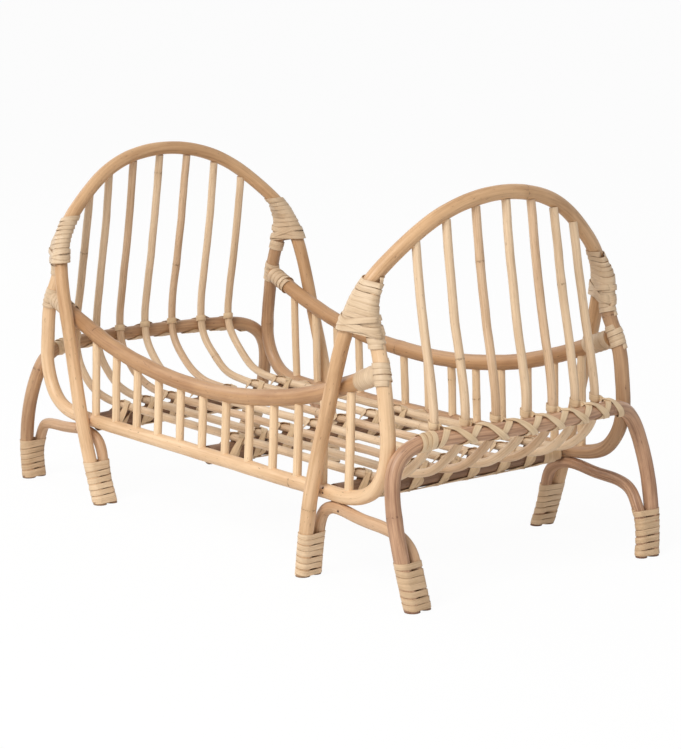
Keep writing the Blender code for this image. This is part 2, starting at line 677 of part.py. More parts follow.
corner_binding = corner_strip()
for (end, side), stretcher in STRETCHERS.items():
    corner = f"{ENDS[end]}_{SIDES[side]}"
    inner_foot = foot_strip(FAR_LEG, ARCH_DIAMETER, stretcher)
    outer_foot = foot_strip(FAR_BOW_LEG, BOW_DIAMETER, stretcher[::-1])
    binding(f"{corner}_corner_binding", carried_over(corner_binding, end, side), CORNER_CANE_WIDTH)
    binding(f"{corner}_inner_foot_binding", carried_over(inner_foot, end, side), FOOT_CANE_WIDTH)
    binding(f"{corner}_outer_foot_binding", carried_over(outer_foot, end, side), FOOT_CANE_WIDTH)
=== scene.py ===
import itertools
import math

import bmesh
import bpy
import numpy as np
from mathutils import Matrix, Vector


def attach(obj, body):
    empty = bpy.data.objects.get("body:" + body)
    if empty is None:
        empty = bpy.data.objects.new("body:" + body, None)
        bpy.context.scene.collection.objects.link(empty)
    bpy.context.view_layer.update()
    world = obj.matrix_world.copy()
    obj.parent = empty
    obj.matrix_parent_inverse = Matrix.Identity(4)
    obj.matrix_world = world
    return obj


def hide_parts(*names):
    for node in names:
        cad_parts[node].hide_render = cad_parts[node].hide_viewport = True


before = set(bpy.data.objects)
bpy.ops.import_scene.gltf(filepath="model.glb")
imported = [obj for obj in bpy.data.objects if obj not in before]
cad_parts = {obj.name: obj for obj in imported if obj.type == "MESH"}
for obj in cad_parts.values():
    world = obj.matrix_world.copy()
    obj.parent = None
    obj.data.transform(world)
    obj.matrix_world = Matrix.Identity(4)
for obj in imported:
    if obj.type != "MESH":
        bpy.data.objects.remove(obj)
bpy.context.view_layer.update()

# Camera and studio. The bed stands on a white sweep and is seen from above its foot-end corner,
# from about 1.75 m, with a long lens.
turn, tilt, roll = 0.891508, 0.188235, 0.0013166
camera_place = (1.337930, -1.049021, 0.438352)
ahead = Vector((-math.sin(turn) * math.cos(tilt), math.cos(turn) * math.cos(tilt), -math.sin(tilt)))
level = Vector((math.cos(turn), math.sin(turn), 0.0))
upright = level.cross(ahead)
right = math.cos(roll) * level + math.sin(roll) * upright
up = -math.sin(roll) * level + math.cos(roll) * upright
camera = bpy.data.objects.new("camera", bpy.data.cameras.new("camera"))
camera.data.sensor_width = 36.0
camera.data.lens = 110.15
camera.data.shift_x, camera.data.shift_y = -0.01533, -0.01109
camera.data.clip_start = 0.05
camera.matrix_world = Matrix.Translation(camera_place) @ Matrix((right, up, -ahead)).transposed().to_4x4()
bpy.context.scene.collection.objects.link(camera)
bpy.context.scene.camera = camera
bpy.context.scene.view_settings.view_transform = "Standard"


def fill(made, inputs):
    """Each input of a node is given its value or joined to a socket."""
    for socket, value in inputs.items():
        if isinstance(value, bpy.types.NodeSocket):
            made.id_data.links.new(value, made.inputs[socket])
        else:
            made.inputs[socket].default_value = value


def node(tree, kind, inputs=None, **settings):
    """A new node of a tree, with its settings and inputs."""
    made = tree.nodes.new(kind)
    for setting, value in settings.items():
        setattr(made, setting, value)
    fill(made, inputs or {})
    return made


world = bpy.data.worlds.new("studio")
world.use_nodes = True
seen_by = node(world.node_tree, "ShaderNodeLightPath").outputs
seen = node(world.node_tree, "ShaderNodeMath", {0: seen_by["Is Camera Ray"], 1: seen_by["Is Glossy Ray"]},
            operation="MAXIMUM")
strength = node(world.node_tree, "ShaderNodeMapRange", {"Value": seen.outputs[0], "To Min": 0.46, "To Max": 1.0})
fill(world.node_tree.nodes["Background"], {"Color": (1.0, 1.0, 1.0, 1.0), "Strength": strength.outputs["Result"]})
bpy.context.scene.world = world

for name, place, size, power, colour in (
        ("key_lamp", (0.7, -1.7, 1.7), 1.0, 40.0, (1.0, 0.985, 0.955)),
        ("side_lamp", (-1.7, -0.6, 1.2), 1.4, 10.0, (1.0, 1.0, 1.0))):
    lamp = bpy.data.lights.new(name, "AREA")
    lamp.size = size
    lamp.energy = power
    lamp.color = colour
    light = bpy.data.objects.new(name, lamp)
    light.location = place
    light.rotation_euler = (Vector((0.0, 0.0, 0.1)) - Vector(place)).to_track_quat("-Z", "Y").to_euler()
    bpy.context.scene.collection.objects.link(light)

sweep = bmesh.new()
bmesh.ops.create_grid(sweep, x_segments=2, y_segments=2, size=60.0)
floor_mesh = bpy.data.meshes.new("floor")
sweep.to_mesh(floor_mesh)
sweep.free()
floor = bpy.data.objects.new("floor", floor_mesh)
floor.location = (0.0, 0.0, -0.0004)
white = bpy.data.materials.new("white_sweep")
white.use_nodes = True
matt = white.node_tree.nodes["Principled BSDF"]
fill(matt, {"Base Color": (0.93, 0.93, 0.93, 1.0), "Roughness": 0.9, "Specular IOR Level": 0.0})
glow = node(white.node_tree, "ShaderNodeEmission", {"Strength": 1.0})
in_view = node(white.node_tree, "ShaderNodeLightPath").outputs["Is Camera Ray"]
share = node(white.node_tree, "ShaderNodeMath", {0: in_view, 1: 0.95}, operation="MULTIPLY")
mix = node(white.node_tree, "ShaderNodeMixShader",
           {"Fac": share.outputs[0], 1: matt.outputs["BSDF"], 2: glow.outputs["Emission"]})
fill(white.node_tree.nodes["Material Output"], {"Surface": mix.outputs["Shader"]})
floor_mesh.materials.append(white)
bpy.context.scene.collection.objects.link(floor)


# Cane skin. Every pole is round cane with its hard skin left on: satin, with fine fibres along it,
# uneven tone, small dark flecks and a narrow broken ring at each joint of the plant.
def group_of(name, kind, inputs, outputs):
    """A node group of named inputs (kind, and a value where they have one) and named outputs."""
    made = bpy.data.node_groups.new(name, kind)
    for in_out, sockets in (("INPUT", inputs), ("OUTPUT", outputs)):
        for label, form, *value in sockets:
            socket = made.interface.new_socket(label, in_out=in_out, socket_type="NodeSocket" + form)
            if value:
                socket.default_value = value[0]
    return made, made.nodes.new("NodeGroupInput").outputs, made.nodes.new("NodeGroupOutput")


def stretched_noise(source, scales, detail, rough):
    """Noise over coordinates that are stretched by a scale each way."""
    stretch = node(source.id_data, "ShaderNodeVectorMath", {0: source, 1: scales}, operation="MULTIPLY")
    return node(source.id_data, "ShaderNodeTexNoise", {"Vector": stretch.outputs[0], "Scale": 1.0, "Detail": detail,
                                                       "Roughness": rough}).outputs["Fac"]


def ranged(source, low, high, to_low=0.0, to_high=1.0):
    """The source's range from low to high, eased into another range."""
    return node(source.id_data, "ShaderNodeMapRange", {"Value": source, "From Min": low, "From Max": high,
                                                       "To Min": to_low, "To Max": to_high},
                interpolation_type="SMOOTHSTEP").outputs["Result"]


def maths(operation, first, second=None):
    return node(first.id_data, "ShaderNodeMath", {0: first} if second is None else {0: first, 1: second},
                operation=operation).outputs[0]


def mixed(amount, first, second):
    """The first colour, with an amount of the second in it."""
    return node(amount.id_data, "ShaderNodeMix", {"Factor": amount, "A": first, "B": second},
                data_type="RGBA").outputs["Result"]


def from_joint(length, spacing):
    """How far a place along a cane is from its nearest joint."""
    place = maths("FRACT", maths("DIVIDE", length, spacing))
    return maths("MULTIPLY", maths("ABSOLUTE", maths("SUBTRACT", place, 0.5)), spacing)


skin_outputs = (("Color", "Color"), ("Roughness", "Float"), ("Height", "Float"))
skin, given, result = group_of("Cane skin", "ShaderNodeTree", (
    ("Straight", "Vector"), ("Light", "Color"), ("Dark", "Color"), ("Stain", "Color"), ("Streaks", "Float", 0.5),
    ("Blotches", "Float", 0.5), ("Flecks", "Float", 0.5), ("Joint Spacing", "Float", 0.16),
    ("Gloss", "Float", 0.42)), skin_outputs)
straight = given["Straight"]
fibre = stretched_noise(straight, (2600.0, 2600.0, 45.0), 3.0, 0.6)
strand = stretched_noise(straight, (700.0, 700.0, 14.0), 3.0, 0.6)
tone = stretched_noise(straight, (70.0, 70.0, 16.0), 4.0, 0.65)
fleck = stretched_noise(straight, (950.0, 950.0, 190.0), 2.0, 0.5)
chip = stretched_noise(straight, (380.0, 380.0, 380.0), 2.0, 0.6)
lines = maths("MULTIPLY", ranged(strand, 0.36, 0.68), given["Streaks"])
fine = maths("MULTIPLY", ranged(fibre, 0.35, 0.75, 0.0, 0.55), given["Streaks"])
clouds = maths("MULTIPLY", ranged(tone, 0.38, 0.70), given["Blotches"])
shade = maths("MINIMUM", maths("ADD", maths("ADD", lines, fine), clouds), 1.0)
colour = mixed(shade, given["Light"], given["Dark"])
spots = maths("MULTIPLY", ranged(fleck, 0.66, 0.76), given["Flecks"])
colour = mixed(spots, colour, given["Stain"])
along = node(skin, "ShaderNodeSeparateXYZ", {0: straight}).outputs["Z"]
apart = from_joint(maths("ADD", along, maths("MULTIPLY", chip, 0.0022)), given["Joint Spacing"])
ring = ranged(apart, 0.0003, 0.0010, 1.0, 0.0)
broken = maths("MULTIPLY", ring, ranged(chip, 0.44, 0.60, 0.0, 0.75))
colour = mixed(broken, colour, given["Stain"])
band = ranged(apart, 0.001, 0.0055, 0.22, 0.0)
colour = mixed(band, colour, given["Dark"])
rough = maths("ADD", given["Gloss"], ranged(tone, 0.3, 0.75, -0.06, 0.12))
rough = maths("ADD", rough, maths("MULTIPLY", spots, 0.15))
height = maths("ADD", maths("MULTIPLY", fibre, 0.35), maths("MULTIPLY", strand, 0.5))
height = maths("SUBTRACT", height, maths("MULTIPLY", broken, 0.9))
height = maths("SUBTRACT", height, maths("MULTIPLY", spots, 0.3))
fill(result, {"Color": colour, "Roughness": rough, "Height": height})


def skinned(name, group, tones, amounts, strength, relief):
    """A material with the gloss and bumps of a skin, and its skin and shader nodes."""
    made = bpy.data.materials.new(name)
    made.use_nodes = True
    tree = made.node_tree
    grown = node(tree, "ShaderNodeAttribute", attribute_name="straight").outputs["Vector"]
    over = node(tree, "ShaderNodeGroup", {"Straight": grown, **amounts}, node_tree=group)
    fill(over, {tone: (*colour, 1.0) for tone, colour in tones.items()})
    bump = node(tree, "ShaderNodeBump", {"Height": over.outputs["Height"], "Strength": strength, "Distance": relief})
    shader = tree.nodes["Principled BSDF"]
    fill(shader, {"Roughness": over.outputs["Roughness"], "Normal": bump.outputs["Normal"]})
    return made, over, shader


def cane(name, light, dark, stain_and_floor_shade, streaks=0.5, blotches=0.5, flecks=0.5, spacing=0.16, gloss=0.42,
         low_light=None, low_dark=None):
    """A finish of cane with its skin on. The low tones, where given, are those near the floor: paler there, partly
    the cane's own tone and partly painted light.
    """
    made, over, shader = skinned(name, skin, {"Light": light, "Dark": dark, "Stain": stain_and_floor_shade},
                                 {"Streaks": streaks, "Blotches": blotches, "Flecks": flecks,
                                  "Joint Spacing": spacing, "Gloss": gloss}, 0.6, 0.00012)
    place = node(made.node_tree, "ShaderNodeTexCoord").outputs["Object"]
    standing = node(made.node_tree, "ShaderNodeSeparateXYZ", {0: place}).outputs["Z"]
    for socket, high, low in (("Light", light, low_light), ("Dark", dark, low_dark)):
        if low is not None:
            amount = ranged(standing, 0.05, 0.17, 1.0, 0.0)
            fill(over, {socket: mixed(amount, (*high, 1.0), (*low, 1.0))})
    # Painted shade: the last 3 mm above the floor are darkened toward the stain colour, for the shade where each
    # pole meets the floor.
    floor_contact_shade = ranged(standing, 0.0004, 0.0030, 0.75, 0.0)
    fill(shader, {"Base Color": mixed(floor_contact_shade, over.outputs["Color"], (*stain_and_floor_shade, 1.0)), "Specular IOR Level": 0.34,
                  "Coat Weight": 0.06, "Coat Roughness": 0.28})
    return made


# End arches. Each is one length of thick cane, steamed and bent to a tall arch that leans outwards,
# and its two feet stand on the floor.
def along_noise(length, scale):
    """Noise that changes only with the length along a line."""
    in_growth = node(length.id_data, "ShaderNodeCombineXYZ", {"Z": length}).outputs[0]
    return node(length.id_data, "ShaderNodeTexNoise", {"Vector": in_growth, "Scale": scale, "Detail": 1.0}).outputs


def wavering(line, offset, scale, waver):
    """The fed line as a curve that wavers, and the length along it from an offset."""
    tree = line.id_data
    curve = node(tree, "GeometryNodeMeshToCurve", {"Mesh": line}).outputs["Curve"]
    grown = maths("ADD", node(tree, "GeometryNodeSplineParameter").outputs["Length"], offset)
    centred = node(tree, "ShaderNodeVectorMath", {0: along_noise(grown, scale)["Color"], 1: (0.5, 0.5, 0.5)},
                   operation="SUBTRACT")
    shift = node(tree, "ShaderNodeVectorMath", {0: centred.outputs[0], "Scale": maths("MULTIPLY", waver, 4.0)},
                 operation="SCALE")
    bent = node(tree, "GeometryNodeSetPosition", {"Geometry": curve, "Offset": shift.outputs[0]})
    return bent.outputs["Geometry"], grown


def captured(geometry, kind, value):
    """The geometry with a value kept on it, and that value."""
    keep = node(geometry.id_data, "GeometryNodeCaptureAttribute")
    keep.capture_items.new(kind, "Kept")
    fill(keep, {"Geometry": geometry, "Kept": value})
    return keep.outputs["Geometry"], keep.outputs["Kept"]


def dressed(geometry, finish):
    """The geometry as one real mesh with its finish on."""
    single = node(geometry.id_data, "GeometryNodeRealizeInstances", {"Geometry": geometry})
    return node(geometry.id_data, "GeometryNodeSetMaterial",
                {"Geometry": single.outputs["Geometry"], "Material": finish}).outputs["Geometry"]


def swept(curve, length, profile, spread, finish, scale=1.0):
    """The profile swept along the curve, with its grain kept as the coordinates called straight."""
    tree = curve.id_data
    curve, length = captured(curve, "FLOAT", length)
    profile, across = captured(profile, "VECTOR", node(tree, "GeometryNodeInputPosition").outputs["Position"])
    tube = node(tree, "GeometryNodeCurveToMesh",
                {"Curve": curve, "Profile Curve": profile, "Scale": scale, "Fill Caps": True})
    flat = node(tree, "ShaderNodeVectorMath", {0: across, "Scale": spread}, operation="SCALE")
    lifted = node(tree, "ShaderNodeCombineXYZ", {"Z": length})
    unrolled = node(tree, "ShaderNodeVectorMath", {0: flat.outputs[0], 1: lifted.outputs[0]}, operation="ADD")
    store = node(tree, "GeometryNodeStoreNamedAttribute", data_type="FLOAT_VECTOR", domain="POINT")
    fill(store, {"Geometry": tube.outputs["Mesh"], "Name": "straight", "Value": unrolled.outputs[0]})
    return dressed(store.outputs["Geometry"], finish)


bent_cane, given, result = group_of("Bent cane", "GeometryNodeTree", (
    ("Line", "Geometry"), ("Sides", "Int", 24), ("Joint Spacing", "Float", 0.16), ("Joint Swell", "Float", 0.035),
    ("Waver", "Float", 0.0003), ("Grain Offset", "Float", 0.0), ("Finish", "Material")), (("Pole", "Geometry"),))
line, grown = wavering(given["Line"], given["Grain Offset"], 28.0, given["Waver"])
thick = node(bent_cane, "GeometryNodeInputNamedAttribute", {"Name": "thickness"}, data_type="FLOAT")
swell = ranged(from_joint(grown, given["Joint Spacing"]), 0.0, 0.007, 1.0, 0.0)
swell = maths("MULTIPLY", swell, given["Joint Swell"])
fuller = maths("ADD", swell, ranged(along_noise(grown, 45.0)["Fac"], 0.2, 0.8, 0.975, 1.02))
radius = node(bent_cane, "GeometryNodeSetCurveRadius",
              {"Curve": line, "Radius": maths("MULTIPLY", thick.outputs["Attribute"], fuller)})
circle = node(bent_cane, "GeometryNodeCurvePrimitiveCircle", {"Radius": 1.0, "Resolution": given["Sides"]})
fill(result, {"Pole": swept(radius.outputs["Curve"], grown, circle.outputs["Curve"], 0.005, given["Finish"],
                            node(bent_cane, "GeometryNodeInputRadius").outputs["Radius"])})


def smooth_line(knots, count):
    """A smooth line of count points through the knots."""
    knots = np.array(knots, dtype=float)
    step = np.sqrt(np.linalg.norm(np.diff(knots, axis=0), axis=1))
    place = np.concatenate([[0.0], np.cumsum(step)])
    system = np.eye(len(knots))
    load = np.zeros(knots.shape)
    for i in range(1, len(knots) - 1):
        system[i, i - 1:i + 2] = step[i - 1], 2 * (step[i - 1] + step[i]), step[i]
        load[i] = 6 * ((knots[i + 1] - knots[i]) / step[i] - (knots[i] - knots[i - 1]) / step[i - 1])
    bend = np.linalg.solve(system, load)
    where = np.linspace(0.0, place[-1], count)
    piece = np.clip(np.searchsorted(place, where) - 1, 0, len(knots) - 2)
    before = ((place[piece + 1] - where) / step[piece])[:, None]
    after = 1 - before
    square = (step[piece] ** 2)[:, None] / 6
    return (before * knots[piece] + after * knots[piece + 1]
            + (before ** 3 - before) * bend[piece] * square
            + (after ** 3 - after) * bend[piece + 1] * square)


def mirrored(line, end, side):
    return np.asarray(line) * np.array([end, side, 1.0])


def point_at(line, axis, value):
    """The first point of a line whose coordinate on the axis passes the value."""
    offset = line[:, axis] - value
    for i in range(len(line) - 1):
        if offset[i] == 0 or offset[i] * offset[i + 1] < 0:
            part = offset[i] / (offset[i] - offset[i + 1])
            return line[i] + part * (line[i + 1] - line[i])
    return line[-1]


def smoothed(mesh):
    mesh.shade_smooth()
    mesh.set_sharp_from_angle(angle=math.radians(50.0))


def fed(name, chains, tree, inputs, **columns):
    """Chains of points as one mesh of edges, run through a Geometry Nodes tree and kept as a mesh."""
    points = np.concatenate([np.asarray(chain) for chain in chains])
    edges, start = [], 0
    for chain in chains:
        edges += [(start + i, start + i + 1) for i in range(len(chain) - 1)]
        start += len(chain)
    mesh = bpy.data.meshes.new(name + "_line")
    mesh.from_pydata(points.tolist(), edges, [])
    for column, values in columns.items():
        values = np.asarray(values, dtype=np.float32)
        kind = "FLOAT_VECTOR" if values.ndim == 2 else "FLOAT"
        made = mesh.attributes.new(column, kind, "POINT")
        made.data.foreach_set("vector" if values.ndim == 2 else "value", values.ravel())
    source = bpy.data.objects.new(name + "_line", mesh)
    bpy.context.scene.collection.objects.link(source)
    modifier = source.modifiers.new("build", "NODES")
    modifier.node_group = tree
    identifiers = {item.name: item.identifier for item in tree.interface.items_tree
                   if item.item_type == "SOCKET" and item.in_out == "INPUT"}
    for key, value in inputs.items():
        modifier[identifiers[key]] = value
    source.update_tag()
    view = bpy.context.evaluated_depsgraph_get()
    built = bpy.data.meshes.new_from_object(source.evaluated_get(view), depsgraph=view)
    built.name = name
    bpy.data.objects.remove(source, do_unlink=True)
    piece = bpy.data.objects.new(name, built)
    bpy.context.scene.collection.objects.link(piece)
    smoothed(built)
    return piece


def on_floor(piece):
    """The piece is cut off square where it stands on the floor."""
    work = bmesh.new()
    work.from_mesh(piece.data)
    everything = work.verts[:] + work.edges[:] + work.faces[:]
    bmesh.ops.bisect_plane(work, geom=everything, plane_co=(0.0, 0.0, 0.00002), plane_no=(0.0, 0.0, 1.0),
                           clear_inner=True)
    bmesh.ops.holes_fill(work, edges=[edge for edge in work.edges if edge.is_boundary])
    work.to_mesh(piece.data)
    work.free()
    smoothed(piece.data)


pole_numbers = itertools.count(1)


def pole(name, line, diameter, finish, material_slot, *replaced, sides=24, spacing=0.16, swell=0.035, waver=0.0003,
         standing=False, offset=0.731):
    """A pole of round cane along a line, which takes the place of the named solids."""
    piece = fed(name, [line], bent_cane,
                {"Sides": sides, "Joint Spacing": spacing, "Joint Swell": swell, "Waver": waver,
                 "Grain Offset": offset * next(pole_numbers), "Finish": finish},
                thickness=np.broadcast_to(diameter, len(line)) / 2)
    if standing:
        on_floor(piece)
    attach(piece, "root")
    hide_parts(*replaced)


def lowered(line, depth=0.004):
    """A line whose first and last points run on below the floor."""
    line = np.asarray(line)
    first = line[0] + (line[0] - line[1]) * depth / (line[1] - line[0])[2]
    last = line[-1] + (line[-1] - line[-2]) * depth / (line[-2] - line[-1])[2]
    return np.concatenate([[first], line, [last]])


ends = {1: "foot", -1: "head"}
sides = {1: "far", -1: "near"}
# Painted light: the arch legs blend to paler low tones toward the floor, partly the cane's own tone and partly light
# painted in.
amber_cane = cane("amber_cane", (0.68, 0.43, 0.235), (0.40, 0.215, 0.10), (0.10, 0.045, 0.02), streaks=0.36,
                  flecks=0.55, spacing=0.31, low_light=(0.80, 0.55, 0.335), low_dark=(0.53, 0.32, 0.165))
arch_diameter, arch_height, arch_lean, arch_foot_x, arch_half_width = 0.011, 0.2644, 0.074, 0.1285, 0.1207
# The poles that reach the outside of the bed are a little slimmer, which leaves room for their waver.
arch_room, bow_room = 0.0006, 0.0003
arch_knots = []
for width, rise in zip((0.96, 1.0, 0.988, 0.93, 0.737, 0.50, 0.25, 0.0),
                       (0.0, 0.242, 0.484, 0.744, 0.860, 0.942, 0.987, 1.0)):
    arch_knots.append((arch_foot_x + arch_lean * rise ** 1.08, arch_half_width * width, arch_height * rise))
arch_knots += [(x, -y, z) for x, y, z in reversed(arch_knots[:-1])]
arch = smooth_line(arch_knots, 221)
far_leg = arch[:111]
for end in ends:
    pole(f"{ends[end]}_arch_pole", lowered(mirrored(arch, end, 1)), arch_diameter - arch_room, amber_cane,
         "tan_cane", f"{ends[end]}_arch", standing=True, spacing=0.31, swell=0.02, waver=0.00012, offset=0.754)

# Side loops. Each long side is a U of cane: its bottom run carries the base, and its shaved ends
# lie against the arches and are bound to them.
loop_diameter, loop_tip_diameter, loop_y, loop_bottom = 0.0105, 0.004, 0.109434, 0.0628
loop_reach, shoulder_height, tip_height, shoulder_inset = 0.2118, 0.195, 0.2095, 0.0024
from_arch, tip_drawn_in = 0.011975, 0.00325
beside = np.array([math.cos(math.radians(18.0)), -math.sin(math.radians(18.0)), 0.0])
loop_knots = [(0.0, loop_y, loop_bottom)]
for reach, rise, inset in zip((0.70, 0.83, 0.925, 0.982, 1.0, 0.992, 0.970, 0.926),
                              (0.0, 0.01, 0.065, 0.18, 0.315, 0.475, 0.66, 0.845),
                              (0.0, 0.0, 0.0, 0.0, 0.0, 0.0, 0.3, 1.0)):
    loop_knots.append((loop_reach * reach, loop_y - shoulder_inset * inset,
                       loop_bottom + (shoulder_height - loop_bottom) * rise))
loop_knots.append(tuple(point_at(far_leg, 2, shoulder_height) + from_arch * beside))
loop_knots.append(tuple(point_at(far_leg, 2, tip_height) + (from_arch - tip_drawn_in) * beside))
loop_knots = [(-x, y, z) for x, y, z in reversed(loop_knots[1:])] + loop_knots
loop = smooth_line(loop_knots, 261)
loop_half = loop[130:]
# The very tips are left out, so that they stay under their winding.
loop_shown = loop[3:-3]


def loop_thickness(line):
    """Full thickness up to the shoulder, then a taper to the tip."""
    return np.interp(line[:, 2], (shoulder_height, tip_height), (loop_diameter, loop_tip_diameter))


tan_cane = cane("tan_cane", (0.80, 0.56, 0.345), (0.55, 0.335, 0.175), (0.14, 0.065, 0.03), streaks=0.34,
                blotches=0.42, flecks=0.55, spacing=0.27)
# Painted shade: this darker brown, used on the far loop and the head bow, is partly the cane's own colour and partly
# shade painted in.
umber_and_shade_cane = cane("umber_and_shade_cane", (0.54, 0.335, 0.19), (0.31, 0.165, 0.085), (0.09, 0.04, 0.02), streaks=0.45,
                  blotches=0.55, spacing=0.27)
# The far loop takes the darker umber cane, partly painted shade.
for side in sides:
    pole(f"{sides[side]}_side_loop_pole", mirrored(loop_shown, 1, side), loop_thickness(loop_shown),
         umber_and_shade_cane if side > 0 else tan_cane, "tan_cane", f"{sides[side]}_side_loop", spacing=0.27)

# End bows. An inverted U at each end stands outside the arch, and its rail carries the ends of the
# bed rods. The foot bow's cane is a rosier brown; the head bow's darker umber is partly its own colour
# and partly painted shade.
rose_cane = cane("rose_cane", (0.62, 0.375, 0.23), (0.29, 0.15, 0.085), (0.09, 0.035, 0.02), streaks=0.55,
                 flecks=0.45, gloss=0.40, spacing=0.23)
warm_cane = cane("warm_cane", (0.66, 0.44, 0.27), (0.42, 0.24, 0.13), (0.12, 0.055, 0.025), streaks=0.42,
                 spacing=0.23)
bow_diameter, bow_height, bow_foot_x, bow_foot_y, bow_corner_x = 0.011, 0.1095, 0.2408, 0.112, 0.221689
bow_spread, bow_swell = 0.0055, 0.015
bow_knots = [(bow_foot_x, bow_foot_y, 0.0),
             (bow_corner_x + 0.54 * (bow_foot_x - bow_corner_x), bow_foot_y + bow_spread, 0.43 * bow_height),
             (bow_corner_x, bow_foot_y, 0.83 * bow_height)]
for swell, reach, rise in ((0.08, 0.885, 0.955), (0.36, 0.70, 0.995), (0.83, 0.35, 1.0), (1.0, 0.0, 1.0)):
    bow_knots.append((bow_corner_x + bow_swell * swell, bow_foot_y * reach, bow_height * rise))
bow_knots += [(x, -y, z) for x, y, z in reversed(bow_knots[:-1])]
bow = smooth_line(bow_knots, 181)
far_bow_leg = bow[:91]
for end in ends:
    pole(f"{ends[end]}_bow_pole", lowered(mirrored(bow, end, 1)), bow_diameter - bow_room,
         rose_cane if end > 0 else umber_and_shade_cane, "rose_cane", f"{ends[end]}_bow", standing=True, spacing=0.23,
         waver=0.00015)

# Leg stretchers. A thinner cane is bent into a low arch between the inner and the outer foot of
# each corner, and its crown props the side loop.
stretcher_diameter, stand, from_leg = 0.0085, 0.024, 0.01055
stretchers = {}
for corner, outer_height, crown_height in (((1, -1), 0.046, 0.053), ((1, 1), 0.047, 0.05299),
                                           ((-1, -1), 0.047, 0.05299), ((-1, 1), 0.047, 0.05299)):
    inner, outer = [[point_at(leg, 2, z) - (0.0, from_leg, 0.0) for z in (0.0001, stand)]
                    for leg in (far_leg, far_bow_leg)]
    inner_x, inner_y, outer_y = inner[1][0], inner[1][1], outer[1][1]
    run, drop = outer[1][0] - inner_x, crown_height - outer_height
    knots = [inner[0], inner[1],
             (inner_x + 0.06 * run, inner_y, stand + 0.72 * (crown_height - stand)),
             (inner_x + 0.22 * run, loop_y, crown_height),
             (inner_x + 0.50 * run, loop_y, crown_height - 0.36 * drop),
             (inner_x + 0.84 * run, (loop_y + outer_y) / 2, outer_height),
             (inner_x + 0.95 * run, outer_y, stand + 0.55 * (outer_height - stand)),
             outer[1], outer[0]]
    stretchers[corner] = smooth_line(knots, 101)
for (end, side), line in stretchers.items():
    pole(f"{ends[end]}_{sides[side]}_stretcher_pole", lowered(mirrored(line, end, side)), stretcher_diameter,
         warm_cane if side < 0 else rose_cane, "rose_cane", f"{ends[end]}_{sides[side]}_leg_stretcher",
         standing=True, sides=20, spacing=0.23)

# Top side rails. A sagging rail closes each side above the spindles, and its ends butt against the
# loop, where they are bound.
rail_diameter, rail_y, rail_end_x, rail_end_height = 0.012, 0.10715, 0.19667, 0.1505
rail_sag, rail_run_on = 0.040, 0.004
rail_knots = [(rail_end_x * part, rail_y, rail_end_height - rail_sag * (1 - abs(part) ** 2.1))
              for part in np.linspace(-1.0, 1.0, 9)]
rail = smooth_line(rail_knots, 141)
honey_cane = cane("honey_cane", (0.53, 0.305, 0.15), (0.33, 0.165, 0.075), (0.10, 0.045, 0.02), streaks=0.38,
                  spacing=0.31)
rail_ends = [end + (end - inner) * rail_run_on / np.linalg.norm(end - inner)
             for end, inner in ((rail[0], rail[4]), (rail[-1], rail[-5]))]
rail = np.concatenate([[rail_ends[0]], rail, [rail_ends[1]]])
for side in sides:
    pole(f"{sides[side]}_top_rail_pole", mirrored(rail, 1, side), rail_diameter, honey_cane, "tan_cane",
         f"{sides[side]}_top_rail", spacing=0.31)

# Cross bars. Three thick dark canes lie across under the rods, and their ends butt against the two
# side loops. The rods are lashed to them. Their dark brown is partly the cane's own colour and partly
# painted shade from lying under the rods.
brown_cane = cane("brown_cane", (0.34, 0.20, 0.12), (0.16, 0.085, 0.05), (0.05, 0.02, 0.012), streaks=0.6,
                  blotches=0.6, flecks=0.6, gloss=0.5)
bar_diameter, bar_height, bar_reach, bar_x = 0.014, 0.0605, 0.10388, 0.149
bars = {"head": -bar_x, "middle": 0.0, "foot": bar_x}
for name, x in bars.items():
    line = np.linspace((x, -bar_reach, bar_height), (x, bar_reach, bar_height), 61)
    pole(f"{name}_cross_bar_pole", line, bar_diameter, brown_cane, "brown_cane", f"{name}_cross_bar", spacing=0.13)

# Bed rods. Seven thin canes lie along the base and bend up at both ends, over the bow rail, to the
# arch above.
rod_diameter, rod_height, rod_cut = 0.0062, 0.0709, 0.0050
rods = []
for head_y, base_y, foot_y, head_rail_x, foot_rail_x in (
        (-0.077, -0.080, -0.073, 0.21810, 0.21846), (-0.056, -0.056, -0.050, 0.22233, 0.22296),
        (-0.031, -0.031, -0.026, 0.22605, 0.22628), (-0.005, -0.005, 0.0005, 0.22770, 0.22780),
        (0.021, 0.022, 0.0245, 0.22716, 0.22688), (0.047, 0.051, 0.048, 0.22358, 0.22347),
        (0.071, 0.077, 0.070, 0.21894, 0.21914)):
    halves = []
    for end, top_y, rail_x in ((1, foot_y, foot_rail_x), (-1, head_y, head_rail_x)):
        top = point_at(mirrored(far_leg, 1, 1 if top_y > 0 else -1), 1, top_y)
        rise, run, crossing_y = bow_height - rod_height, rail_x - bar_x, (base_y + top_y) / 2
        half = [(0.0, base_y, rod_height), (0.55 * bar_x, base_y, rod_height)]
        for forward, upward in ((-0.05, 0.003), (0.33, 0.036), (0.60, 0.165), (0.83, 0.475)):
            half.append((bar_x + forward * run, base_y, rod_height + upward * rise))
        half.append((rail_x, crossing_y, bow_height))
        half.append((rail_x + 0.36 * (top[0] - rail_x), crossing_y + 0.42 * (top_y - crossing_y),
                     bow_height + 0.42 * (top[2] - bow_height)))
        half.append(tuple(top))
        halves.append([(end * x, y, z) for x, y, z in half])
    rods.append(smooth_line(halves[1][:0:-1] + halves[0], 201))


def shortened(line, cut):
    """A line with a length cut off at both ends."""
    length = np.concatenate([[0.0], np.cumsum(np.linalg.norm(np.diff(line, axis=0), axis=1))])
    where = np.linspace(cut, length[-1] - cut, len(line))
    return np.stack([np.interp(where, length, line[:, k]) for k in range(3)], axis=1)


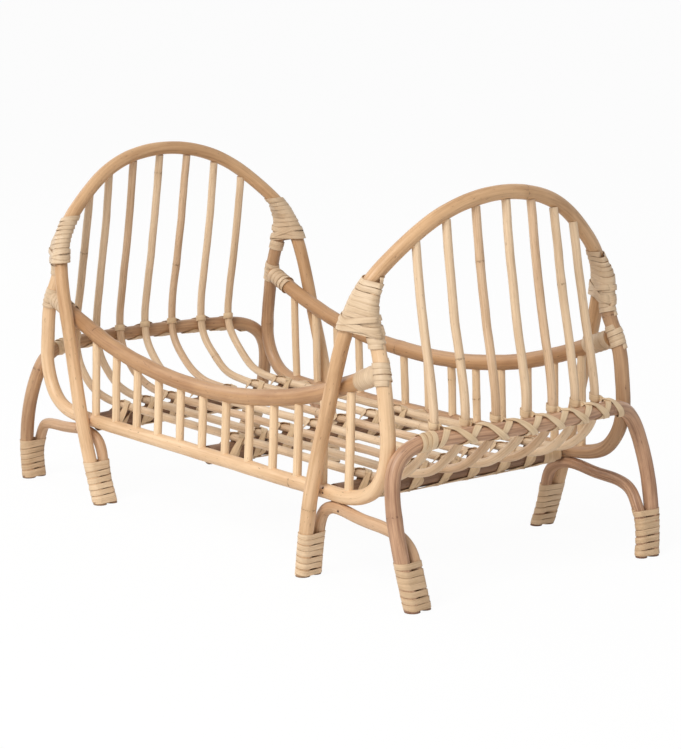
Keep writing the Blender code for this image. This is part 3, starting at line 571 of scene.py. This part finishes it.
straw_cane = cane("straw_cane", (0.80, 0.605, 0.41), (0.53, 0.36, 0.215), (0.15, 0.075, 0.035), streaks=0.40,
                  blotches=0.45, spacing=0.27)
fawn_cane = cane("fawn_cane", (0.73, 0.52, 0.34), (0.46, 0.29, 0.165), (0.13, 0.06, 0.03), streaks=0.42,
                 spacing=0.27)
for number, line in enumerate(rods, 1):
    pole(f"bed_rod_{number}_pole", shortened(line, rod_cut), rod_diameter,
         fawn_cane if number in (3, 5) else straw_cane, "tan_cane", f"bed_rod_{number}", sides=18, spacing=0.27,
         swell=0.05, waver=0.00035)

# Side spindles. Thirteen short pale canes stand along each side, between the loop below and the
# top rail.
pale_cane = cane("pale_cane", (0.87, 0.655, 0.43), (0.62, 0.41, 0.23), (0.20, 0.10, 0.045), streaks=0.42,
                 blotches=0.35, gloss=0.46, spacing=0.24)
spindle_diameter, spindle_spacing, above_loop, below_rail = 0.0062, 0.0285, 0.0042, 0.0050
for side in sides:
    for number in range(1, 14):
        x = (number - 7) * spindle_spacing
        foot, top = point_at(loop, 0, x), point_at(rail, 0, x)
        foot = foot + (top - foot) * above_loop / np.linalg.norm(top - foot)
        top = top + (foot - top) * below_rail / np.linalg.norm(top - foot)
        pole(f"{sides[side]}_spindle_{number}_pole", mirrored(np.linspace(foot, top, 25), 1, side),
             spindle_diameter, pale_cane, "pale_cane", f"{sides[side]}_spindle_{number}", sides=16, spacing=0.24,
             swell=0.04, waver=0.0002)

# Foot bindings. Flat split cane is wound tight round each pair of feet, turn beside turn, with its
# ends tucked between the poles. The strip has a shiny rounded face and rougher fibrous edges, and its
# colour darkens toward the edges: painted shade for the creases between turns.
split_skin, given, result = group_of("Split cane skin", "ShaderNodeTree", (
    ("Straight", "Vector"), ("Light", "Color"), ("Dark", "Color"), ("Edge", "Color"), ("Half Width", "Float")),
    skin_outputs)
straight = given["Straight"]
fibre = stretched_noise(straight, (1500.0, 4200.0, 60.0), 3.0, 0.65)
strand = stretched_noise(straight, (500.0, 1300.0, 22.0), 3.0, 0.6)
tone = stretched_noise(straight, (60.0, 60.0, 30.0), 3.0, 0.6)
across = node(split_skin, "ShaderNodeSeparateXYZ", {0: straight}).outputs["Y"]
outward = maths("DIVIDE", maths("ABSOLUTE", across), given["Half Width"])
shade = maths("ADD", ranged(strand, 0.36, 0.70, 0.0, 0.40), ranged(fibre, 0.35, 0.75, 0.0, 0.28))
shade = maths("ADD", shade, ranged(tone, 0.35, 0.72, 0.0, 0.5))
colour = mixed(maths("MINIMUM", shade, 1.0), given["Light"], given["Dark"])
# Painted shade: the colour darkens toward each edge of the strip, for the shade in the creases between turns; the
# added roughness there is the fibrous edge.
edge = ranged(outward, 0.82, 1.0, 0.0, 0.45)
fill(result, {"Color": mixed(edge, colour, given["Edge"]),
              "Roughness": maths("ADD", ranged(tone, 0.3, 0.7, 0.42, 0.56), maths("MULTIPLY", edge, 0.2)),
              "Height": maths("ADD", maths("MULTIPLY", fibre, 0.5), strand)})


def split_finish(name, light, dark, edge, width):
    """A finish of split cane for a strip of that width."""
    made, over, shader = skinned(name, split_skin, {"Light": light, "Dark": dark, "Edge": edge},
                                 {"Half Width": width / 2}, 0.7, 0.00015)
    fill(shader, {"Base Color": over.outputs["Color"], "Specular IOR Level": 0.40, "Sheen Weight": 0.05})
    return made


split_cane, given, result = group_of("Split cane strip", "GeometryNodeTree", (
    ("Line", "Geometry"), ("Width", "Float", 0.003), ("Thickness", "Float", 0.001), ("Slack", "Float", 0.0001),
    ("Seed", "Float", 0.0), ("Finish", "Material")), (("Strip", "Geometry"),))
line, grown = wavering(given["Line"], given["Seed"], 60.0, given["Slack"])
facing = node(split_cane, "GeometryNodeInputNamedAttribute", {"Name": "outward"}, data_type="FLOAT_VECTOR")
laid = node(split_cane, "GeometryNodeSetCurveNormal", {"Curve": line, "Normal": facing.outputs["Attribute"]},
            mode="FREE")
section = node(split_cane, "GeometryNodeCurvePrimitiveQuadrilateral",
               {"Width": given["Thickness"], "Height": given["Width"]})
rounded = node(split_cane, "GeometryNodeFilletCurve",
               {"Curve": section.outputs["Curve"], "Count": 3, "Limit Radius": True,
                "Radius": maths("MULTIPLY", given["Thickness"], 0.48)}, mode="POLY")
fill(result, {"Strip": swept(laid.outputs["Curve"], grown, rounded.outputs["Curve"], 1.0, given["Finish"])})


def unit(vector):
    return vector / np.linalg.norm(vector)


def cut_through(line, diameter, middle, forward):
    """Where a pole passes through the plane at the middle: the point, its direction and diameter."""
    diameters = np.broadcast_to(diameter, len(line))
    height = (line - middle) @ forward
    found = []
    for i in range(len(line) - 1):
        if min(height[i], height[i + 1]) <= 0 < max(height[i], height[i + 1]):
            part = height[i] / (height[i] - height[i + 1])
            point = line[i] + part * (line[i + 1] - line[i])
            thickness = diameters[i] + part * (diameters[i + 1] - diameters[i])
            found.append((np.linalg.norm(point - middle), point, unit(line[i + 1] - line[i]), thickness))
    return min(found, key=lambda entry: entry[0])[1:] if found else None


def pulled_tight(poles, middle, forward, facing, thickness):
    """The point of a tight strip that faces a direction, in the plane square to forward."""
    best = None
    for line, diameter in poles:
        cut = cut_through(line, diameter, middle, forward)
        if cut is None:
            continue
        point, direction, wide = cut
        slope = direction / np.dot(direction, forward)
        skew = np.dot(slope, facing)
        stretch = math.sqrt(1 + skew ** 2)
        reach = np.dot(point - middle, facing) + (wide / 2 + thickness / 2) * stretch
        if best is None or reach > best[0]:
            flat = slope - forward
            spread = np.dot(flat, facing) * flat / stretch
            touch = point + (wide / 2 + thickness / 2) * (facing / stretch + spread)
            outward = unit(facing - direction * np.dot(facing, direction))
            best = (reach, touch, outward)
    return best[1], best[2]


def turns_round(poles, middles, forward, toward, per_turn, thickness=0.001):
    """A strip wound round poles through the middles, in planes square to forward."""
    forward = unit(np.array(forward))
    level = unit(toward - forward * np.dot(toward, forward))
    square = np.cross(forward, level)
    line, outward = [], []
    for k, middle in enumerate(middles):
        angle = 2 * math.pi * k / per_turn
        point, out = pulled_tight(poles, middle, forward, math.cos(angle) * level + math.sin(angle) * square,
                                  thickness)
        line.append(point)
        outward.append(out)
    return np.array(line), np.array(outward)


def between(poles, axis, places):
    return [np.mean([point_at(line, axis, place) for line, _ in poles], axis=0) for place in places]


def uneven(first, last, turns, per_turn, seed):
    """Places from the first to the last, a little nearer or further apart from turn to turn."""
    hand = np.random.default_rng(seed)
    steps = 1.0 + hand.uniform(-0.16, 0.16, turns)
    edges = np.concatenate([[0.0], np.cumsum(steps)]) / steps.sum()
    shares = np.interp(np.linspace(0.0, turns, turns * per_turn + 1), np.arange(turns + 1), edges)
    return first + (last - first) * shares


def shingled(strip, per_turn, seed, lean=0.10):
    """The strip's face leans a little, another way in each turn, so its edge lies on the turn before."""
    line, outward = strip
    hand = np.random.default_rng(seed)
    turns = len(line) // per_turn + 2
    leans = np.interp(np.arange(len(line)), np.arange(turns) * per_turn, hand.normal(lean, 0.07, turns))
    along = np.gradient(line, axis=0)
    leaned = []
    for direction, out, angle in zip(along, outward, leans):
        width_way = unit(np.cross(unit(direction), out))
        leaned.append(unit(out + math.tan(angle) * width_way))
    return line, np.array(leaned)


def tucked(strip, inward=0.0016):
    """The strip's first and last ends pushed under its own turns."""
    line, outward = strip
    line = line.copy()
    for i, depth in ((0, 1.0), (1, 0.5), (-1, 1.0), (-2, 0.5)):
        line[i] = line[i] - outward[i] * inward * depth
    return line, outward


strip_numbers = itertools.count(1)


def split_strips(name, strips, width, finish, *replaced, thickness=0.0006, slack=0.00008):
    """Strips of split cane as one piece, which takes the place of the named solids."""
    piece = fed(name, [line for line, _ in strips], split_cane,
                {"Width": width, "Thickness": thickness, "Slack": slack, "Seed": 0.377 * next(strip_numbers),
                 "Finish": finish}, outward=np.concatenate([outward for _, outward in strips]))
    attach(piece, "root")
    if replaced:
        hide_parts(*replaced)


foot_width, foot_thickness, foot_points, foot_turns, flat_points = 0.0042, 0.0005, 26, 6, 20
foot_pull, foot_first, foot_last, foot_lean = 0.0008, 0.0033, 0.0312, 0.02
nearly_level = np.array((0.0, 0.0, 4.5))
# Painted light and shade: the inner feet get a paler copy and the outer feet a darker copy of one strip colour.
foot_canes = {
    which: split_finish(f"{which}_foot_binding_cane", light, dark, edge, foot_width)
    for which, light, dark, edge in (
        ("inner", (0.82, 0.62, 0.415), (0.57, 0.385, 0.225), (0.33, 0.20, 0.11)),
        ("outer", (0.70, 0.50, 0.315), (0.44, 0.28, 0.15), (0.27, 0.155, 0.08)))}
for number, ((end, side), line) in enumerate(stretchers.items()):
    for which, leg, diameter, half in (("inner", far_leg, arch_diameter, line[:50]),
                                       ("outer", far_bow_leg, bow_diameter, line[:50:-1])):
        bundle = [(leg, diameter - foot_pull), (half, stretcher_diameter)]
        seed = 10 + 2 * number + (which == "outer")
        climb = uneven(foot_first, foot_last, foot_turns, foot_points, seed)
        middles = between(bundle, 2, np.concatenate([np.full(flat_points, climb[0]), climb,
                                                     np.full(flat_points, climb[-1])]))
        forward = unit(middles[-1] - middles[0]) + nearly_level
        wound = turns_round(bundle, middles, forward, np.array((0.0, 1.0, 0.0)), foot_points, foot_thickness)
        wound = tucked(shingled(wound, foot_points, seed, foot_lean))
        split_strips(f"{ends[end]}_{sides[side]}_{which}_foot_winding",
                     [tuple(mirrored(part, end, side) for part in wound)], foot_width, foot_canes[which],
                     f"{ends[end]}_{sides[side]}_{which}_foot_binding", thickness=foot_thickness, slack=0.00003)

# Corner bindings. Where a loop's shaved end lies on the arch, a strip of split cane is wound round
# both, and further down round the loop alone, where the top rail's end is bound to it.
corner_width, collar_width, corner_slack, corner_points = 0.0040, 0.0050, 0.00012, 28
build_up, head_end_raised, thin_end_height, thin_end_beside, thin_end_diameter = 0.0021, 0.0035, 0.2180, 0.003, 0.001
corner_cane, collar_cane = [
    split_finish(name, (0.72, 0.55, 0.375), (0.49, 0.335, 0.20), (0.34, 0.21, 0.12), width)
    for name, width in (("corner_binding_cane", corner_width), ("collar_cane", collar_width))]
# A thin end of the loop runs on beside the arch, so that the top turns narrow down onto the arch.
drawn_in = np.concatenate([loop_half, [point_at(far_leg, 2, thin_end_height) + thin_end_beside * beside]])
both = [(drawn_in, np.append(loop_thickness(loop_half), thin_end_diameter)), (far_leg, arch_diameter)]
over_both = [(line, thickness + build_up) for line, thickness in both]
alone, rail_end = both[:1], [(rail, rail_diameter)]
skyward, outwards = np.array((0.0, 0.0, 1.0)), np.array((1.0, 0.0, 0.0))
for number, (end, side) in enumerate(stretchers):
    placed = []
    raised = head_end_raised if end < 0 else 0.0
    for k, (bundle, axis, first, last, count, toward, slope) in enumerate((
            (both, 2, 0.2135 + raised, 0.1790 + raised, 10, beside, 0.5 * outwards + 3 * skyward),
            (alone, 2, 0.1765 + raised, 0.1695 + raised, 2, beside, skyward),
            (alone, 2, 0.1605, 0.1455, 4, beside, 0 * skyward),
            (over_both, 2, 0.1872 + raised, 0.1860 + raised, 1, beside, 3 * skyward - 0.7 * outwards),
            (over_both, 2, 0.1850 + raised, 0.1838 + raised, 1, beside, 3 * skyward + 1.5 * outwards),
            (over_both, 2, 0.1822 + raised, 0.1812 + raised, 1, beside, 3 * skyward + 0.1 * outwards),
            (rail_end, 0, 0.2003, 0.1795, 5, skyward, 0 * skyward))):
        seed = 40 + 7 * number + k
        middles = between(bundle, axis, uneven(first, last, count, corner_points, seed))
        wound = turns_round(bundle, middles, unit(middles[-1] - middles[0]) - slope, toward, corner_points)
        placed.append(tuple(mirrored(part, end, side) for part in tucked(shingled(wound, corner_points, seed))))
    split_strips(f"{ends[end]}_{sides[side]}_corner_winding", placed[:6], corner_width, corner_cane,
                 f"{ends[end]}_{sides[side]}_corner_binding", slack=corner_slack)
    split_strips(f"{ends[end]}_{sides[side]}_rail_end_winding", placed[6:], collar_width, collar_cane,
                 slack=corner_slack)

# Bow lacing. A strip starts with a few turns round the rail of a bow. At each rod it rises across
# the rail, goes round behind the rod, comes forward over the rail and slants down to the next one.
lacing_width, lacing_turns, lacing_start, lacing_pitch = 0.0048, 3, 0.0165, 0.0037
off_rail, off_rod, before_first, after_last = 0.0004, 0.0006, 0.012, 0.018
lacing_cane = split_finish("lacing_cane", (0.80, 0.615, 0.405), (0.57, 0.39, 0.22), (0.32, 0.19, 0.10),
                           lacing_width)
# Round the rail: the share of the way to the next rod, the angle up from outward, the rise in mm.
rising = ((-0.40, -92, 0.0), (-0.31, -60, 0.0), (-0.20, -20, 0.0), (-0.06, 25, 0.0), (0.10, 65, 0.0),
          (0.19, 96, 0.3))
falling = ((0.26, 80, 1.0), (0.42, 54, 0.5), (0.60, 20, 0.1), (0.78, -14, 0.9), (0.93, -48, 0.7),
           (1.03, -82, 0.4), (1.00, -112, 0.2), (0.88, -134, 0.1), (0.74, -120, 0.1))
# Round the rod: the angle from outward, the height above the middle of the rail in mm.
behind = ((70, 5.9), (110, 6.6), (150, 7.6), (190, 8.2), (230, 8.0), (270, 7.3), (310, 6.7), (350, 6.4),
          (385, 6.2))


def knot(point, facing):
    """A point of a strip and the way that it faces, kept short so that it hardly steers the line."""
    return np.concatenate([point, facing * 0.002])


def drawn_through(knots, points_each):
    """A smooth strip through the knots."""
    laid = smooth_line(knots, len(knots) * points_each)
    return laid[:, :3], np.array([unit(facing) for facing in laid[:, 3:]])


def lacing(end):
    """The strip that ties every rod to the bow rail at one end, from the near side to the far side."""
    # The part of the bow that lies across the end, from the near side to the far side.
    rail_line = np.array([p for p in mirrored(bow, end, 1) if abs(p[1]) < 0.104 and p[2] > 0.085])
    rail_line = rail_line[np.argsort(rail_line[:, 1])]
    halves = [line[100:] if end > 0 else line[100::-1] for line in rods]
    ys = [point_at(half, 2, bow_height)[1] for half in halves]
    hand = np.random.default_rng(7 if end > 0 else 8)
    knots = []

    def round_rail(y, angle, rise):
        facing = np.array((end * math.cos(math.radians(angle)), 0.0, math.sin(math.radians(angle))))
        knots.append(knot(point_at(rail_line, 1, y + hand.normal(0.0, 0.00025))
                          + facing * (bow_diameter / 2 + off_rail + rise / 1000), facing))

    for turn in np.linspace(0.0, lacing_turns, lacing_turns * 8 + 1)[:-1]:
        round_rail(ys[0] - lacing_start + lacing_pitch * turn, -90.0 + 360.0 * turn, 0.1)
    for i, y in enumerate(ys):
        before = y - (ys[i - 1] if i else ys[0] - before_first)
        after = (ys[i + 1] if i + 1 < len(ys) else ys[-1] + after_last) - y
        for part, angle, rise in rising:
            round_rail(y + part * (before if part < 0 else after), angle, rise)
        for angle, height in behind:
            facing = np.array((end * math.cos(math.radians(angle)), math.sin(math.radians(angle)), 0.0))
            knots.append(knot(point_at(halves[i], 2, bow_height + height / 1000)
                              + facing * (rod_diameter / 2 + off_rod), facing))
        for part, angle, rise in falling[:9 if i + 1 < len(ys) else 7]:
            round_rail(y + part * after, angle, rise)
    return drawn_through(knots, 4)


for end in ends:
    split_strips(f"{ends[end]}_bow_lacing", [tucked(lacing(end))], lacing_width, lacing_cane)

# Bar lashings. One strip runs along under each cross bar. At each bed rod it makes two slanted
# turns round the bar and the rod, which cross above the rod.
lashing_width, lashing_points, under_turn, over_turn = 0.0050, 24, 0.0007, 0.0017
lead, half_pitch, ending_from, ending_to, closest = 0.0056, 0.0008, 0.0185, 0.0025, 0.0005
lashing_cane = split_finish("lashing_cane", (0.76, 0.565, 0.36), (0.52, 0.345, 0.19), (0.28, 0.16, 0.085),
                            lashing_width)
hand = np.random.default_rng(21)
low = np.array((0.55, 0.0, -0.83))
for name, x in bars.items():
    laid = []
    bar_line = np.array([(x, -bar_reach, bar_height), (x, bar_reach, bar_height)])
    for line in rods:
        crossing = line[np.argmin(np.abs(line[:, 0] - x))]
        for slant, shift, thickness in ((-0.60, -0.0010, under_turn), (0.60, 0.0022, over_turn)):
            forward = unit(np.array((slant + hand.normal(0.0, 0.04), 1.0, -0.55 + hand.normal(0.0, 0.05))))
            middle = np.array((x, crossing[1] - lead + shift + hand.normal(0.0, 0.0004), bar_height))
            middles = [middle + forward * step
                       for step in np.linspace(-half_pitch, half_pitch, lashing_points + 1)]
            laid += map(knot, *turns_round([(bar_line, bar_diameter), (line, rod_diameter)], middles, forward, low,
                                           lashing_points, thickness))
    ending = [np.array((x, y, bar_height))
              for y in np.linspace(bar_reach - ending_from, bar_reach - ending_to, 4 * lashing_points + 1)]
    laid += map(knot, *turns_round([(bar_line, bar_diameter)], ending, ending[-1] - ending[0], low,
                                   lashing_points, under_turn))
    spaced = [laid[0]]
    spaced += [point for point, last in zip(laid[1:], laid) if np.linalg.norm(point[:3] - last[:3]) > closest]
    split_strips(f"{name}_bar_lashings", [tucked(drawn_through(spaced, 2))], lashing_width, lashing_cane)

# Pegs. The small dark heads of wooden pegs show on each loop beside the arch leg, and near the
# crown of each leg stretcher, where poles that lie against each other are pegged.
pegs, given, result = group_of("Peg heads", "GeometryNodeTree", (
    ("Places", "Geometry"), ("Radius", "Float", 0.0008), ("Seed", "Int", 5), ("Finish", "Material")),
    (("Pegs", "Geometry"),))
head = node(pegs, "GeometryNodeMeshUVSphere", {"Segments": 12, "Rings": 6, "Radius": given["Radius"]})
facing = node(pegs, "GeometryNodeInputNamedAttribute", {"Name": "outward"}, data_type="FLOAT_VECTOR")
turned = node(pegs, "FunctionNodeAlignRotationToVector", {"Vector": facing.outputs["Attribute"]}, axis="Z")
varied = node(pegs, "FunctionNodeRandomValue", {"Min": 0.8, "Max": 1.25, "Seed": given["Seed"]}, data_type="FLOAT")
wide = varied.outputs["Value"]
flattened = node(pegs, "ShaderNodeCombineXYZ", {"X": wide, "Y": wide, "Z": 0.5})
driven = node(pegs, "GeometryNodeInstanceOnPoints",
              {"Points": given["Places"], "Instance": head.outputs["Mesh"], "Rotation": turned.outputs["Rotation"],
               "Scale": flattened.outputs[0]})
fill(result, {"Pegs": dressed(driven.outputs["Instances"], given["Finish"])})
peg_finish = bpy.data.materials.new("peg_wood")
peg_finish.use_nodes = True
place = node(peg_finish.node_tree, "ShaderNodeTexCoord").outputs["Object"]
mottled = stretched_noise(place, (2400.0, 2400.0, 2400.0), 3.0, 0.6)
fill(peg_finish.node_tree.nodes["Principled BSDF"], {
    "Base Color": mixed(ranged(mottled, 0.35, 0.7), (0.055, 0.028, 0.018, 1.0), (0.16, 0.085, 0.05, 1.0)),
    "Roughness": ranged(mottled, 0.3, 0.7, 0.45, 0.65)})
peg_places, peg_facings = [], []
outer_side = np.array((0.0, 1.0, 0.0))
for (end, side), stretcher in stretchers.items():
    for line, diameter, x, facing in ((loop, loop_diameter, 0.1492, outer_side),
                                      (loop, loop_diameter, 0.1482, unit(outer_side + (0.0, 0.0, 0.75))),
                                      (stretcher, stretcher_diameter, 0.1650, outer_side)):
        peg_places.append([mirrored(point_at(line, 0, x) + facing * diameter / 2, end, side)])
        peg_facings.append(mirrored(facing, end, side))
piece = fed("peg_heads", peg_places, pegs, {"Radius": 0.0008, "Seed": 5, "Finish": peg_finish},
            outward=np.array(peg_facings))
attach(piece, "root")

bpy.context.view_layer.update()
